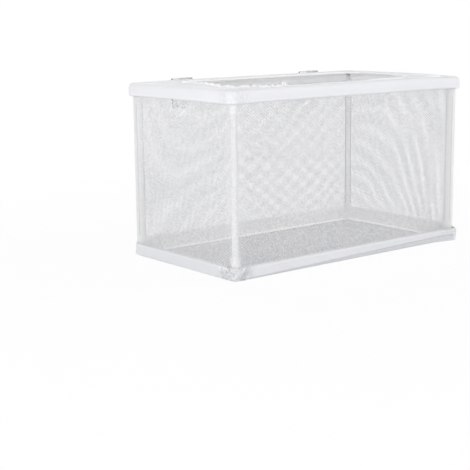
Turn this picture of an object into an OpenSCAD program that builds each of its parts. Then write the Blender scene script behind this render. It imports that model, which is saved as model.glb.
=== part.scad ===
// Fish breeding box: a white mesh bag with a sewn base binding and a hemmed top,
// held open by twelve plastic tubes in eight moulded corner connectors, and hung
// on the aquarium glass by two suction cups in clips that slide along the back hem.
// Millimetres. X runs along the box, Y from front to back, Z up from the resting plane.

/* [Overall] */
// Length over the base binding, left to right
box_length = 260; // [180:5:320]
// Width over the base binding, front to back
box_width = 142; // [120:2:200]
// Height from the resting plane to the top of the hem
box_height = 150; // [110:5:220]

/* [Frame tubes] */
// Outer diameter of a tube
tube_d = 6; // [5:0.5:8]
// Wall of a tube
tube_wall = 1; // [0.8:0.1:1.5]

/* [Corner connectors] */
// Wall of a socket round its tube
socket_wall = 0.9; // [0.8:0.1:1.5]
// How deep a tube goes into its socket
socket_depth = 9; // [6:0.5:14]
// Radial clearance between a tube and its socket
socket_play = 0.05; // [0.02:0.01:0.1]
// How far the bead at a socket's mouth stands out from its sleeve
bead_rise = 0.3; // [0.2:0.05:0.6]
// Width of that bead along the socket
bead_width = 1.8; // [1:0.2:2.6]
// Lead-in chamfer inside a socket's mouth
lead_in = 0.4; // [0.2:0.1:0.6]
// Thickness of the webs between the sockets
web_thickness = 1.6; // [1:0.2:2.4]
// Concave radius of the webs between the sockets
web_radius = 3; // [2:0.5:4]

/* [Net bag] */
// Thickness of the net
net_thickness = 0.5; // [0.4:0.1:0.8]
// Openings along a long wall and the floor
net_columns = 12; // [4:1:12]
// Openings along a short wall and across the floor
net_side_columns = 6; // [2:1:8]
// Openings up a wall
net_rows = 6; // [2:1:8]
// Width of the net left between two openings
net_strand = 2.4; // [1.6:0.2:4]
// Room between the frame and the net or ribbon that lies over it
frame_room = 0.3; // [0.2:0.05:0.6]
// Room between two layers of cloth that are sewn together
sew_room = 0.1; // [0.1:0.05:0.2]
// Thickness of the lining that closes the channel round each rail
lining_thickness = 0.5; // [0.4:0.1:0.8]
// Distance of a lining's ends from the posts' axes
lining_end = 7.6; // [7.4:0.2:14]

/* [Base binding] */
// Thickness of the folded ribbon
ribbon_thickness = 0.8; // [0.6:0.1:1.2]
// Height of the ribbon on the walls
binding_height = 11; // [8:0.5:16]
// Radius of the bend where the ribbon turns under
binding_round = 3.5; // [2:0.25:4]

/* [Top hem] */
// Height of the hem on the walls
hem_height = 11; // [9:0.5:16]
// How far the hem stands out from the base binding
hem_stand = 2.5; // [1.5:0.25:5]
// Radius of the hem's upper edge
hem_round = 2.4; // [1:0.2:3]
// Thickness of the flange over the top
flange_thickness = 0.8; // [0.6:0.1:1.2]
// Length of the opening inside the elastic
opening_length = 204; // [100:2:210]
// Width of the opening inside the elastic
opening_width = 76; // [50:2:84]
// Radius of the opening's corners
opening_corner = 14; // [6:1:22]
// Width of the elastic edge
elastic_width = 2.4; // [1.6:0.2:3.6]
// Height of the elastic edge
elastic_height = 2.6; // [1.6:0.2:3.6]
// How far the elastic edge stands above the flange
elastic_rise = 1.2; // [0.6:0.1:1.6]

/* [Suction cups] */
// Distance between the axes of the two cups
cup_spacing = 150; // [60:5:160]
// How far a cup's axis lies below the top of the hem
cup_drop = 20; // [18:1:40]
// Diameter of a cup's rim
cup_d = 28; // [22:1:36]
// Height of a cup's bell, from its collar to its rim
bell_height = 5.6; // [4.5:0.2:8]
// Depth of the hollow in the bell
hollow_depth = 3.8; // [2.6:0.2:4.2]
// Width of the flat rim
rim_width = 0.8; // [0.6:0.1:1.2]
// Diameter of the neck that turns in the clip
neck_d = 6.4; // [5:0.2:8]
// Diameter of the knob and of the collar on either side of the clip
knob_d = 10.4; // [9:0.2:12]
// Thickness of the knob
knob_thickness = 2.4; // [1.6:0.1:2.8]
// Rounding of the knob's front edge
knob_round = 1; // [0.5:0.1:1.5]
// Thickness of the collar behind the clip
collar_thickness = 1.2; // [0.8:0.1:2]

/* [Clips] */
// Width of a clip along the hem
clip_width = 15; // [13:0.5:22]
// Thickness of a clip's plate
clip_thickness = 1.6; // [1.2:0.1:2.4]
// Thickness of the jaw over the flange
jaw_thickness = 1; // [0.8:0.1:1.2]
// How far the jaw reaches over the flange
jaw_reach = 9; // [6:0.5:18]
// Radius of the bead along the jaw's front edge
jaw_bead = 0.7; // [0.6:0.1:1]
// How far the lower lip catches under the hem
lip_reach = 2; // [1:0.1:2.2]
// Thickness of the lower lip
lip_thickness = 1.4; // [1:0.1:2]
// Room between a clip and the hem
clip_room = 0.3; // [0.2:0.05:0.5]
// Radial clearance between a neck and its seat in the clip
neck_play = 0.06; // [0.03:0.01:0.1]
// Play of a neck along its axis, on each side of the clip
neck_end_play = 0.15; // [0.1:0.05:0.3]
// Share of the neck's diameter left open at the seat's snap-in gap
snap_share = 0.8; // [0.7:0.02:0.9]
// How much the snap-in gap widens on each side at its mouth
snap_flare = 1.4; // [0.6:0.2:2]

/* [Hidden] */

$fn = 64;
// Overlap of shapes that are joined, and overshoot of cuts
eps = 0.01;

// Connectors, from the inside out
tube_r = tube_d / 2;
socket_bore_r = tube_r + socket_play;
sleeve_r = socket_bore_r + socket_wall;
bead_r = sleeve_r + bead_rise;
// Distance from a corner's centre to the seat of a tube, and to the socket's mouth
stop = socket_bore_r + socket_wall;
reach = stop + socket_depth;

// The cloth layers, from the outside in, as half sizes along X and Y
half_box = [box_length, box_width] / 2;
half_net = half_box - [1, 1] * (ribbon_thickness + sew_room);
half_frame = half_net - [1, 1] * (net_thickness + frame_room + bead_r);
half_hem = half_box + [1, 1] * hem_stand;
half_opening = [opening_length, opening_width] / 2;
half_elastic = half_opening + [1, 1] * elastic_width;

// A lining's inner and outer radius round its rail; its outer side bounds the floor
lining_r = bead_r + frame_room;
lining_out = lining_r + lining_thickness;
half_lip = half_frame - [1, 1] * lining_out;
half_floor = half_lip - [1, 1] * sew_room;

// Distances out from the posts' axes; every layer bends round them at the corners
net_out = half_net.x - half_frame.x;
binding_out = half_box.x - half_frame.x;
hem_out = half_hem.x - half_frame.x;

// Heights
flange_z = box_height - flange_thickness;
hem_z = box_height - hem_height;
low_z = ribbon_thickness + frame_room + bead_r;
high_z = flange_z - frame_room - bead_r;

// Clips and cups
plate_y = half_hem.y + clip_room;
jaw_z = box_height + clip_room;
lip_z = hem_z - clip_room;
neck_z = box_height - cup_drop;
neck_r = neck_d / 2;
seat_r = neck_r + neck_play;
snap_gap = neck_d * snap_share;
neck_length = clip_thickness + 2 * neck_end_play;

// Radius of a sphere cut by circles of radius a and b that lie h apart
function ball_r(a, b, h) = sqrt(pow((b * b - a * a + h * h) / (2 * h), 2) + a * a);

// ---- shared shapes ----

// A rectangle with round corners, centred
module round_rect(half, r) {
    square([2 * half.x, 2 * (half.y - r)], center = true);
    square([2 * (half.x - r), 2 * half.y], center = true);
    for (x = [-1, 1], y = [-1, 1])
        translate([x * (half.x - r), y * (half.y - r)])
            circle(r);
}

// Sweeps a profile round the frame. In the profile, X is the distance out from the
// posts' axes and Y the height
module round_frame() {
    for (i = [0:3]) {
        out = i % 2 == 0 ? half_frame.x : half_frame.y;
        run = i % 2 == 0 ? half_frame.y : half_frame.x;
        rotate(90 * i)
            translate([out, run, 0]) {
                rotate_extrude(angle = 90)
                    children();
                rotate([90, 0, 0])
                    linear_extrude(2 * run)
                        children();
            }
    }
}

// A straight tube along Z, centred
module tube(length) {
    color("whitesmoke")
        difference() {
            cylinder(r = tube_r, h = length, center = true);
            cylinder(r = tube_r - tube_wall, h = length + 2 * eps, center = true);
        }
}

// ---- corner connectors ----

// One socket's outside, along Z from the corner's centre
module sleeve() {
    cylinder(r = sleeve_r, h = reach);
    translate([0, 0, reach - bead_width])
        cylinder(r = bead_r, h = bead_width);
}

// One socket's inside, from the tube's seat to the chamfered mouth
module socket_bore() {
    translate([0, 0, stop])
        cylinder(r = socket_bore_r, h = socket_depth + eps);
    translate([0, 0, reach - lead_in])
        cylinder(r1 = socket_bore_r, r2 = socket_bore_r + lead_in, h = lead_in + eps);
}

// The web in the corner between the X and Y sockets, with a concave edge
module web() {
    translate([0, 0, -web_thickness / 2])
        linear_extrude(web_thickness)
            difference() {
                square(sleeve_r + web_radius);
                translate([1, 1] * (sleeve_r + web_radius))
                    circle(web_radius);
            }
}

// Sends a shape along Z to +X, +Y and +Z
module three_ways() {
    children();
    rotate([0, 90, 0]) children();
    rotate([-90, 0, 0]) children();
}

// Sends a shape in the XY plane to the three planes of a corner
module three_planes() {
    children();
    rotate([90, 0, 0]) children();
    rotate([0, -90, 0]) children();
}

// A three-way connector with its sockets along +X, +Y and +Z
module connector() {
    color("white")
        difference() {
            union() {
                sphere(bead_r);
                three_ways() sleeve();
                three_planes() web();
            }
            three_ways() socket_bore();
        }
}

// A connector at a corner of the frame, with its sockets facing inwards
module corner(side, depth, level) {
    translate([side * half_frame.x, depth * half_frame.y, level < 0 ? low_z : high_z])
        mirror([side > 0 ? 1 : 0, 0, 0])
            mirror([0, depth > 0 ? 1 : 0, 0])
                mirror([0, 0, level > 0 ? 1 : 0])
                    connector();
}

// ---- tubes between the connectors' seats ----

module post(side, depth) {
    translate([side * half_frame.x, depth * half_frame.y, (low_z + high_z) / 2])
        tube(high_z - low_z - 2 * stop);
}

module long_rail(depth, z) {
    translate([0, depth * half_frame.y, z])
        rotate([0, 90, 0])
            tube(2 * (half_frame.x - stop));
}

module short_rail(side, z) {
    translate([side * half_frame.x, 0, z])
        rotate([90, 0, 0])
            tube(2 * (half_frame.y - stop));
}

// ---- net bag ----

net_low = binding_round;
net_high = flange_z - sew_room;

// The four walls seen from above, one thickness of net bent round the posts
module net_ring() {
    difference() {
        round_rect(half_net, net_out);
        round_rect(half_net - [1, 1] * net_thickness, net_out - net_thickness);
    }
}

// The net's openings over a field of a given size, as a plain grid that stands for fine mesh
module openings(field, columns, rows) {
    pitch = [field.x / columns, field.y / rows];
    for (i = [0:columns - 1], j = [0:rows - 1])
        translate([(i + 0.5) * pitch.x, (j + 0.5) * pitch.y] - field / 2)
            square(pitch - [1, 1] * net_strand, center = true);
}

// The openings of a wall that stands along X at a distance out from the middle
module wall_openings(out, length, columns) {
    translate([0, out - net_thickness / 2, (binding_height + hem_z) / 2])
        rotate([90, 0, 0])
            linear_extrude(2 * net_thickness, center = true)
                openings([length, hem_z - binding_height], columns, net_rows);
}

// A wall along X. It ends halfway round the corner posts, where the side walls begin
module long_net(depth) {
    far = depth * (half_frame.y + 2 * net_out);
    color("gainsboro")
        difference() {
            translate([0, 0, net_low])
                linear_extrude(net_high - net_low)
                    intersection() {
                        net_ring();
                        polygon([
                            [-half_frame.x, depth * half_frame.y],
                            [-half_frame.x - 2 * net_out, far],
                            [half_frame.x + 2 * net_out, far],
                            [half_frame.x, depth * half_frame.y]
                        ]);
                    }
            rotate(depth > 0 ? 0 : 180)
                wall_openings(half_net.y, 2 * half_lip.x, net_columns);
        }
}

module short_net(side) {
    far = side * (half_frame.x + 2 * net_out);
    color("gainsboro")
        difference() {
            translate([0, 0, net_low])
                linear_extrude(net_high - net_low)
                    intersection() {
                        net_ring();
                        polygon([
                            [side * half_frame.x, -half_frame.y],
                            [far, -half_frame.y - 2 * net_out],
                            [far, half_frame.y + 2 * net_out],
                            [side * half_frame.x, half_frame.y]
                        ]);
                    }
            rotate(side > 0 ? -90 : 90)
                wall_openings(half_net.x, 2 * half_lip.y, net_side_columns);
        }
}

module net_floor() {
    color("lightgray")
        linear_extrude(net_thickness)
            difference() {
                square(2 * half_floor, center = true);
                openings(2 * half_floor, net_columns, net_side_columns);
            }
}

// A square corner's profile with a rounded edge, from the axis out to a reach
module rounded_edge(out, height, r) {
    square([out - r, height]);
    square([out, height - r]);
    translate([out - r, height - r])
        intersection() {
            circle(r);
            square(r);
        }
}

// Half of a channel's lining, seen along its rail: from the net over the rail, round it
// and on past its inner side to the base ribbon or the flange
module lining_section(depth) {
    translate([0, lining_r])
        square([net_out - net_thickness - sew_room, lining_thickness]);
    intersection() {
        difference() {
            circle(lining_out);
            circle(lining_r);
        }
        translate([-lining_out, 0])
            square(lining_out);
    }
    translate([-lining_out, -depth])
        square([lining_thickness, depth]);
}

// The linings of the four rails at one level, open at the corners for the connectors
module linings(depth) {
    for (i = [0:3]) {
        out = i % 2 == 0 ? half_frame.x : half_frame.y;
        run = (i % 2 == 0 ? half_frame.y : half_frame.x) - lining_end;
        rotate(90 * i)
            translate([out, run, 0])
                rotate([90, 0, 0])
                    linear_extrude(2 * run)
                        lining_section(depth);
    }
}

// Ribbon sewn round the foot of the walls; it bends under and in to the floor's edge,
// and its lining closes a channel round the bottom rails
module base_binding() {
    color("white") {
        translate([0, 0, binding_height])
            mirror([0, 0, 1])
                round_frame()
                    difference() {
                        rounded_edge(binding_out, binding_height, binding_round);
                        rounded_edge(
                            binding_out - ribbon_thickness,
                            binding_height - ribbon_thickness,
                            binding_round - ribbon_thickness
                        );
                    }
        linear_extrude(ribbon_thickness)
            difference() {
                square(2 * (half_frame + [1, 1] * eps), center = true);
                square(2 * half_lip, center = true);
            }
        translate([0, 0, low_z])
            linings(low_z);
    }
}

// Folded hem round the top of the walls, with a flange that leaves the opening. Its
// lining closes a channel round the top rails
module top_hem() {
    color("white") {
        translate([0, 0, hem_z])
            round_frame()
                difference() {
                    rounded_edge(hem_out, hem_height, hem_round);
                    square([net_out + sew_room, hem_height - flange_thickness]);
                }
        translate([0, 0, flange_z])
            linear_extrude(flange_thickness)
                difference() {
                    square(2 * (half_frame + [1, 1] * eps), center = true);
                    round_rect(
                        half_elastic + [1, 1] * sew_room,
                        opening_corner + elastic_width + sew_room
                    );
                }
        translate([0, 0, high_z])
            mirror([0, 0, 1])
                linings(flange_z - high_z + eps);
    }
}

// Gathered elastic edge inside the flange
module opening_elastic() {
    color("white")
        translate([0, 0, box_height + elastic_rise - elastic_height])
            linear_extrude(elastic_height)
                difference() {
                    round_rect(half_elastic, opening_corner + elastic_width);
                    round_rect(half_opening, opening_corner);
                }
}

// ---- clips and suction cups, drawn at X = 0 ----

// Side view of a clip, with Y to the right and Z up
module clip_side() {
    translate([plate_y, neck_z])
        square([clip_thickness, jaw_z - neck_z]);
    translate([plate_y + clip_thickness - jaw_thickness, jaw_z])
        intersection() {
            circle(jaw_thickness);
            square(jaw_thickness);
        }
    translate([plate_y - jaw_reach, jaw_z])
        square([jaw_reach + clip_thickness - jaw_thickness, jaw_thickness]);
    translate([plate_y - jaw_reach, jaw_z + jaw_bead])
        circle(jaw_bead);
    polygon([
        [plate_y, lip_z],
        [plate_y - lip_reach, lip_z],
        [plate_y - lip_reach, lip_z - lip_thickness / 2],
        [plate_y, lip_z - lip_thickness]
    ]);
}

// A clip: jaw over the flange, lip under the hem, and an open seat for the neck
module clip() {
    color("aliceblue")
        difference() {
            union() {
                translate([-clip_width / 2, 0, 0])
                    rotate([90, 0, 90])
                        linear_extrude(clip_width)
                            clip_side();
                translate([0, plate_y, neck_z])
                    rotate([-90, 0, 0])
                        cylinder(d = clip_width, h = clip_thickness);
            }
            translate([0, plate_y - eps, neck_z])
                rotate([-90, 0, 0])
                    cylinder(r = seat_r, h = clip_thickness + 2 * eps);
            translate([0, plate_y - eps, neck_z])
                rotate([-90, 0, 0])
                    linear_extrude(clip_thickness + 2 * eps)
                        snap_opening();
        }
}

// The gap below the seat, drawn downwards along +Y: narrow at the seat, wide at its mouth
module snap_opening() {
    mouth = clip_width / 2 + eps;
    polygon([
        [-snap_gap / 2, 0],
        [snap_gap / 2, 0],
        [snap_gap / 2, mouth - snap_flare],
        [snap_gap / 2 + snap_flare, mouth],
        [-snap_gap / 2 - snap_flare, mouth],
        [-snap_gap / 2, mouth - snap_flare]
    ]);
}

// Half section of a cup's bell: two spheres cut by its collar, apex and rim
module bell_section() {
    outer_r = ball_r(knob_d / 2, cup_d / 2, bell_height);
    inner_r = ball_r(0, cup_d / 2 - rim_width, hollow_depth);
    rim_to_outer = sqrt(outer_r * outer_r - cup_d * cup_d / 4);
    intersection() {
        difference() {
            translate([0, bell_height + rim_to_outer])
                circle(outer_r, $fn = 128);
            translate([0, bell_height - hollow_depth + inner_r])
                circle(inner_r, $fn = 128);
        }
        square([cup_d / 2, bell_height]);
    }
}

// Half section of a knob, with its front edge rounded
module knob_section() {
    square([knob_d / 2 - knob_round, knob_thickness]);
    translate([0, knob_round])
        square([knob_d / 2, knob_thickness - knob_round]);
    translate([knob_d / 2 - knob_round, knob_round])
        circle(knob_round, $fn = 32);
}

// A cup, from the knob in front of the clip to the rim that grips the glass
module suction_cup() {
    collar_at = knob_thickness + neck_length;
    color("lightcyan")
        translate([0, plate_y - neck_end_play - knob_thickness, neck_z])
            rotate([-90, 0, 0])
                rotate_extrude() {
                    knob_section();
                    square([neck_r, collar_at + collar_thickness]);
                    translate([0, collar_at])
                        square([knob_d / 2, collar_thickness]);
                    translate([0, collar_at + collar_thickness])
                        bell_section();
                }
}

// ---- drawing ----

corner(-1, -1, -1);  // connector_bottom_front_left
corner(1, -1, -1);  // connector_bottom_front_right
corner(-1, 1, -1);  // connector_bottom_back_left
corner(1, 1, -1);  // connector_bottom_back_right
corner(-1, -1, 1);  // connector_top_front_left
corner(1, -1, 1);  // connector_top_front_right
corner(-1, 1, 1);  // connector_top_back_left
corner(1, 1, 1);  // connector_top_back_right
post(-1, -1);  // post_front_left
post(1, -1);  // post_front_right
post(-1, 1);  // post_back_left
post(1, 1);  // post_back_right
long_rail(-1, low_z);  // rail_bottom_front
long_rail(1, low_z);  // rail_bottom_back
short_rail(-1, low_z);  // rail_bottom_left
short_rail(1, low_z);  // rail_bottom_right
long_rail(-1, high_z);  // rail_top_front
long_rail(1, high_z);  // rail_top_back
short_rail(-1, high_z);  // rail_top_left
short_rail(1, high_z);  // rail_top_right
long_net(-1);  // net_front
long_net(1);  // net_back
short_net(-1);  // net_left
short_net(1);  // net_right
net_floor();
base_binding();
top_hem();
opening_elastic();
translate([-cup_spacing / 2, 0, 0]) clip();  // clip_left
translate([cup_spacing / 2, 0, 0]) clip();  // clip_right
translate([-cup_spacing / 2, 0, 0]) suction_cup();  // suction_cup_left
translate([cup_spacing / 2, 0, 0]) suction_cup();  // suction_cup_right
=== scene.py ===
import math

import bpy
from mathutils import Euler, Matrix, Vector, noise


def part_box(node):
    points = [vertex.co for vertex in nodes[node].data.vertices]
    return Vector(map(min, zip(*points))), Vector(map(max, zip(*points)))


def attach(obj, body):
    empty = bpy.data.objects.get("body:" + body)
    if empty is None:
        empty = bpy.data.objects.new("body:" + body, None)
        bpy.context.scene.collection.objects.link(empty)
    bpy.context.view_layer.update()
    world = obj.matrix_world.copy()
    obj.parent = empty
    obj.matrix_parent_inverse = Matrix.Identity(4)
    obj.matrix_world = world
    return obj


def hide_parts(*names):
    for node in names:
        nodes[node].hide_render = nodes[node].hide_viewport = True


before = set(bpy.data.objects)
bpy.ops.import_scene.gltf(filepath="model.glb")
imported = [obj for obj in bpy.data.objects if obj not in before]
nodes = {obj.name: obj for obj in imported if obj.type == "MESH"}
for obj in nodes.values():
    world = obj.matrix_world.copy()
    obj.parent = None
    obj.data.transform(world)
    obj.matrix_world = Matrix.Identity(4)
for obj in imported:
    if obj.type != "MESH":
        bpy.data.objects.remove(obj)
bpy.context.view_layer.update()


# Studio.
# A long lens looks down a little at the front left corner. The ground and the
# background are white, and five soft lamps stand round the box and above it.

def select_nothing():
    bpy.ops.object.select_all(action="DESELECT")


EYE = Vector((-0.6607, -0.7423, 0.2067))
EYE_YAW = math.radians(38.376)
EYE_PITCH = math.radians(11.142)
EYE_ROLL = math.radians(-0.733)
aim = Euler((math.pi / 2 - EYE_PITCH, 0, -EYE_YAW)).to_matrix() @ Matrix.Rotation(EYE_ROLL, 3, "Z")

select_nothing()
bpy.ops.object.camera_add(location=EYE, rotation=aim.to_euler())
camera = bpy.context.object
camera.name = "studio_camera"
camera.data.lens = 86.24
camera.data.sensor_width = 36
bpy.context.scene.camera = camera
bpy.context.scene.view_settings.view_transform = "Standard"


def lamp(name, place, target, size, power):
    select_nothing()
    direction = Vector(target) - Vector(place)
    aimed = direction.to_track_quat("-Z", "Y").to_euler()
    bpy.ops.object.light_add(type="AREA", location=place, rotation=aimed)
    light = bpy.context.object
    light.name = name
    light.data.shape = "DISK"
    light.data.size = size
    light.data.energy = power


lamp("front_softbox", (-1.2, -1.3, 0.42), (0, 0, 0.08), 0.7, 12)
lamp("top_softbox", (-0.3, -0.2, 1.6), (0, 0, 0.05), 1.4, 4)
lamp("right_softbox", (1.6, -0.9, 0.8), (0, 0, 0.08), 1.0, 16)
lamp("left_softbox", (-1.7, 0.0, 0.6), (0, 0, 0.08), 1.0, 7.5)
lamp("back_softbox", (0.4, 1.7, 0.8), (0, 0, 0.08), 1.0, 12)


def shown_ray(tree):
    """1 for a ray that shows the background: to the camera, in a gloss or through glass"""
    path = tree.nodes.new("ShaderNodeLightPath")
    first = tree.nodes.new("ShaderNodeMath")
    first.operation = "MAXIMUM"
    tree.links.new(path.outputs["Is Glossy Ray"], first.inputs[0])
    tree.links.new(path.outputs["Is Transmission Ray"], first.inputs[1])
    shown = tree.nodes.new("ShaderNodeMath")
    shown.operation = "MAXIMUM"
    tree.links.new(path.outputs["Is Camera Ray"], shown.inputs[0])
    tree.links.new(first.outputs[0], shown.inputs[1])
    return shown.outputs[0]


def plain_world():
    """Even pale light, and pure white where the background shows"""
    world = bpy.data.worlds.new("studio_world")
    world.use_nodes = True
    tree = world.node_tree
    tree.nodes.clear()
    light = tree.nodes.new("ShaderNodeBackground")
    light.inputs["Color"].default_value = (0.99, 0.993, 1.0, 1)
    light.inputs["Strength"].default_value = 0.21
    white = tree.nodes.new("ShaderNodeBackground")
    white.inputs["Color"].default_value = (1, 1, 1, 1)
    white.inputs["Strength"].default_value = 1.0
    mix = tree.nodes.new("ShaderNodeMixShader")
    out = tree.nodes.new("ShaderNodeOutputWorld")
    tree.links.new(shown_ray(tree), mix.inputs["Fac"])
    tree.links.new(light.outputs[0], mix.inputs[1])
    tree.links.new(white.outputs[0], mix.inputs[2])
    tree.links.new(mix.outputs[0], out.inputs["Surface"])
    return world


bpy.context.scene.world = plain_world()


def floor_finish():
    """Pale floor with a soft shadow near the box, that turns to the white of the background"""
    material = bpy.data.materials.new("studio_floor")
    material.use_nodes = True
    tree = material.node_tree
    tree.nodes.clear()
    where = tree.nodes.new("ShaderNodeTexCoord")
    far = tree.nodes.new("ShaderNodeVectorMath")
    far.operation = "LENGTH"
    tree.links.new(where.outputs["Object"], far.inputs[0])
    fade = tree.nodes.new("ShaderNodeMapRange")
    fade.inputs["From Min"].default_value = 0.16
    fade.inputs["From Max"].default_value = 0.6
    fade.inputs["To Min"].default_value = 0.94
    fade.inputs["To Max"].default_value = 1.0
    tree.links.new(far.outputs["Value"], fade.inputs["Value"])
    share = tree.nodes.new("ShaderNodeMath")
    share.operation = "MULTIPLY"
    tree.links.new(shown_ray(tree), share.inputs[0])
    tree.links.new(fade.outputs["Result"], share.inputs[1])
    body = tree.nodes.new("ShaderNodeBsdfDiffuse")
    body.inputs["Color"].default_value = (0.95, 0.95, 0.95, 1)
    white = tree.nodes.new("ShaderNodeEmission")
    white.inputs["Strength"].default_value = 1.0
    mix = tree.nodes.new("ShaderNodeMixShader")
    out = tree.nodes.new("ShaderNodeOutputMaterial")
    tree.links.new(share.outputs[0], mix.inputs["Fac"])
    tree.links.new(body.outputs[0], mix.inputs[1])
    tree.links.new(white.outputs[0], mix.inputs[2])
    tree.links.new(mix.outputs[0], out.inputs["Surface"])
    return material


select_nothing()
bpy.ops.mesh.primitive_plane_add(size=60)
floor = bpy.context.object
floor.name = "studio_floor"
floor.data.materials.append(floor_finish())


# Frame tubes and corner connectors.
# White extruded tubes pushed into moulded three-way connectors, in plain polypropylene
# with a soft gloss. Painted shade darkens their rims where they turn from the eye, more
# on the back right post and its bottom socket; the front left post is painted a little
# darker all over, without the rims.

def shader_group(name, inputs, outputs):
    """An empty node group with named sockets, and its input and output nodes"""
    group = bpy.data.node_groups.new(name, "ShaderNodeTree")
    for label, kind, value in inputs:
        socket = group.interface.new_socket(label, in_out="INPUT", socket_type=kind)
        socket.default_value = value
    for label, kind in outputs:
        group.interface.new_socket(label, in_out="OUTPUT", socket_type=kind)
    return group, group.nodes.new("NodeGroupInput"), group.nodes.new("NodeGroupOutput")


def mottle_group():
    """Slow change of shade and fine unevenness, as on moulded plastic and on cloth"""
    group, given, made = shader_group(
        "mottle",
        [
            ("Shade", "NodeSocketColor", (0.9, 0.9, 0.9, 1)),
            ("Other shade", "NodeSocketColor", (0.8, 0.8, 0.8, 1)),
            ("Patch size", "NodeSocketFloat", 40.0),
            ("Patch contrast", "NodeSocketFloat", 1.0),
            ("Grain size", "NodeSocketFloat", 900.0),
            ("Roughness from", "NodeSocketFloat", 0.3),
            ("Roughness to", "NodeSocketFloat", 0.45),
        ],
        [("Color", "NodeSocketColor"), ("Roughness", "NodeSocketFloat"), ("Height", "NodeSocketFloat")],
    )
    where = group.nodes.new("ShaderNodeTexCoord")
    patches = group.nodes.new("ShaderNodeTexNoise")
    patches.inputs["Detail"].default_value = 3
    grain = group.nodes.new("ShaderNodeTexNoise")
    grain.inputs["Detail"].default_value = 2
    for texture, size in ((patches, "Patch size"), (grain, "Grain size")):
        group.links.new(where.outputs["Object"], texture.inputs["Vector"])
        group.links.new(given.outputs[size], texture.inputs["Scale"])
    apart = group.nodes.new("ShaderNodeMath")
    apart.operation = "SUBTRACT"
    apart.inputs[1].default_value = 0.5
    group.links.new(patches.outputs["Fac"], apart.inputs[0])
    strong = group.nodes.new("ShaderNodeMath")
    strong.operation = "MULTIPLY"
    group.links.new(apart.outputs[0], strong.inputs[0])
    group.links.new(given.outputs["Patch contrast"], strong.inputs[1])
    level = group.nodes.new("ShaderNodeMath")
    level.operation = "ADD"
    level.use_clamp = True
    level.inputs[1].default_value = 0.5
    group.links.new(strong.outputs[0], level.inputs[0])
    shade = group.nodes.new("ShaderNodeMix")
    shade.data_type = "RGBA"
    group.links.new(level.outputs[0], shade.inputs["Factor"])
    group.links.new(given.outputs["Shade"], shade.inputs["A"])
    group.links.new(given.outputs["Other shade"], shade.inputs["B"])
    gloss = group.nodes.new("ShaderNodeMapRange")
    group.links.new(grain.outputs["Fac"], gloss.inputs["Value"])
    group.links.new(given.outputs["Roughness from"], gloss.inputs["To Min"])
    group.links.new(given.outputs["Roughness to"], gloss.inputs["To Max"])
    group.links.new(shade.outputs["Result"], made.inputs["Color"])
    group.links.new(gloss.outputs["Result"], made.inputs["Roughness"])
    group.links.new(grain.outputs["Fac"], made.inputs["Height"])
    return group


MOTTLE = mottle_group()


def finish(name, shade, other, patch, grain, rough, bump, contrast=1.0):
    """A material whose shade, gloss and bump come from the mottle group"""
    material = bpy.data.materials.new(name)
    material.use_nodes = True
    tree = material.node_tree
    surface = tree.nodes["Principled BSDF"]
    mottle = tree.nodes.new("ShaderNodeGroup")
    mottle.node_tree = MOTTLE
    mottle.inputs["Shade"].default_value = (*shade, 1)
    mottle.inputs["Other shade"].default_value = (*other, 1)
    mottle.inputs["Patch size"].default_value = patch
    mottle.inputs["Patch contrast"].default_value = contrast
    mottle.inputs["Grain size"].default_value = grain
    mottle.inputs["Roughness from"].default_value = rough[0]
    mottle.inputs["Roughness to"].default_value = rough[1]
    relief = tree.nodes.new("ShaderNodeBump")
    relief.inputs["Strength"].default_value = bump
    relief.inputs["Distance"].default_value = 0.0002
    tree.links.new(mottle.outputs["Color"], surface.inputs["Base Color"])
    tree.links.new(mottle.outputs["Roughness"], surface.inputs["Roughness"])
    tree.links.new(mottle.outputs["Height"], relief.inputs["Height"])
    tree.links.new(relief.outputs["Normal"], surface.inputs["Normal"])
    return material


def second_shade(material, color, mask):
    """Mixes a second shade into a material where the mask is 1: here painted shade at rims and painted
    light on the net by the posts
    """
    tree = material.node_tree
    surface = tree.nodes["Principled BSDF"]
    shade = tree.nodes.new("ShaderNodeMix")
    shade.data_type = "RGBA"
    shade.inputs["B"].default_value = (*color, 1)
    tree.links.new(surface.inputs["Base Color"].links[0].from_socket, shade.inputs["A"])
    tree.links.new(mask, shade.inputs["Factor"])
    tree.links.new(shade.outputs["Result"], surface.inputs["Base Color"])


def rim_mask(material, start, end):
    """For painted shade: 1 where a surface turns away from the eye, at the rims of a tube"""
    tree = material.node_tree
    turn = tree.nodes.new("ShaderNodeLayerWeight")
    turn.inputs["Blend"].default_value = 0.5
    rim = tree.nodes.new("ShaderNodeMapRange")
    rim.inputs["From Min"].default_value = start
    rim.inputs["From Max"].default_value = end
    tree.links.new(turn.outputs["Facing"], rim.inputs["Value"])
    return rim.outputs["Result"]


def dress(piece, material):
    piece.data.materials.clear()
    piece.data.materials.append(material)


tube_plastic_painted_rims = finish("tube_plastic_painted_rims", (0.93, 0.93, 0.935), (0.9, 0.9, 0.91), 30, 700, (0.32, 0.46), 0.1)
# Painted shade: the tubes' rims darken as they turn from the eye.
second_shade(tube_plastic_painted_rims, (0.52, 0.52, 0.53), rim_mask(tube_plastic_painted_rims, 0.17, 0.55))
# Painted shade: a copy of the tube plastic with much darker painted rims, for the back right post.
far_plastic_painted_rims = finish("far_plastic_painted_rims", (0.93, 0.93, 0.935), (0.9, 0.9, 0.91), 30, 700, (0.32, 0.46), 0.1)
second_shade(far_plastic_painted_rims, (0.3, 0.3, 0.31), rim_mask(far_plastic_painted_rims, 0.2, 0.5))
# Painted shade: a darker copy of the same plastic for the front left post, without the painted rims.
near_plastic_painted_shade = finish("near_plastic_painted_shade", (0.89, 0.89, 0.895), (0.86, 0.86, 0.87), 30, 700, (0.32, 0.46), 0.1)
connector_plastic = finish(
    "connector_plastic", (0.94, 0.94, 0.945), (0.91, 0.91, 0.92), 60, 900, (0.26, 0.36), 0.06
)
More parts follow.
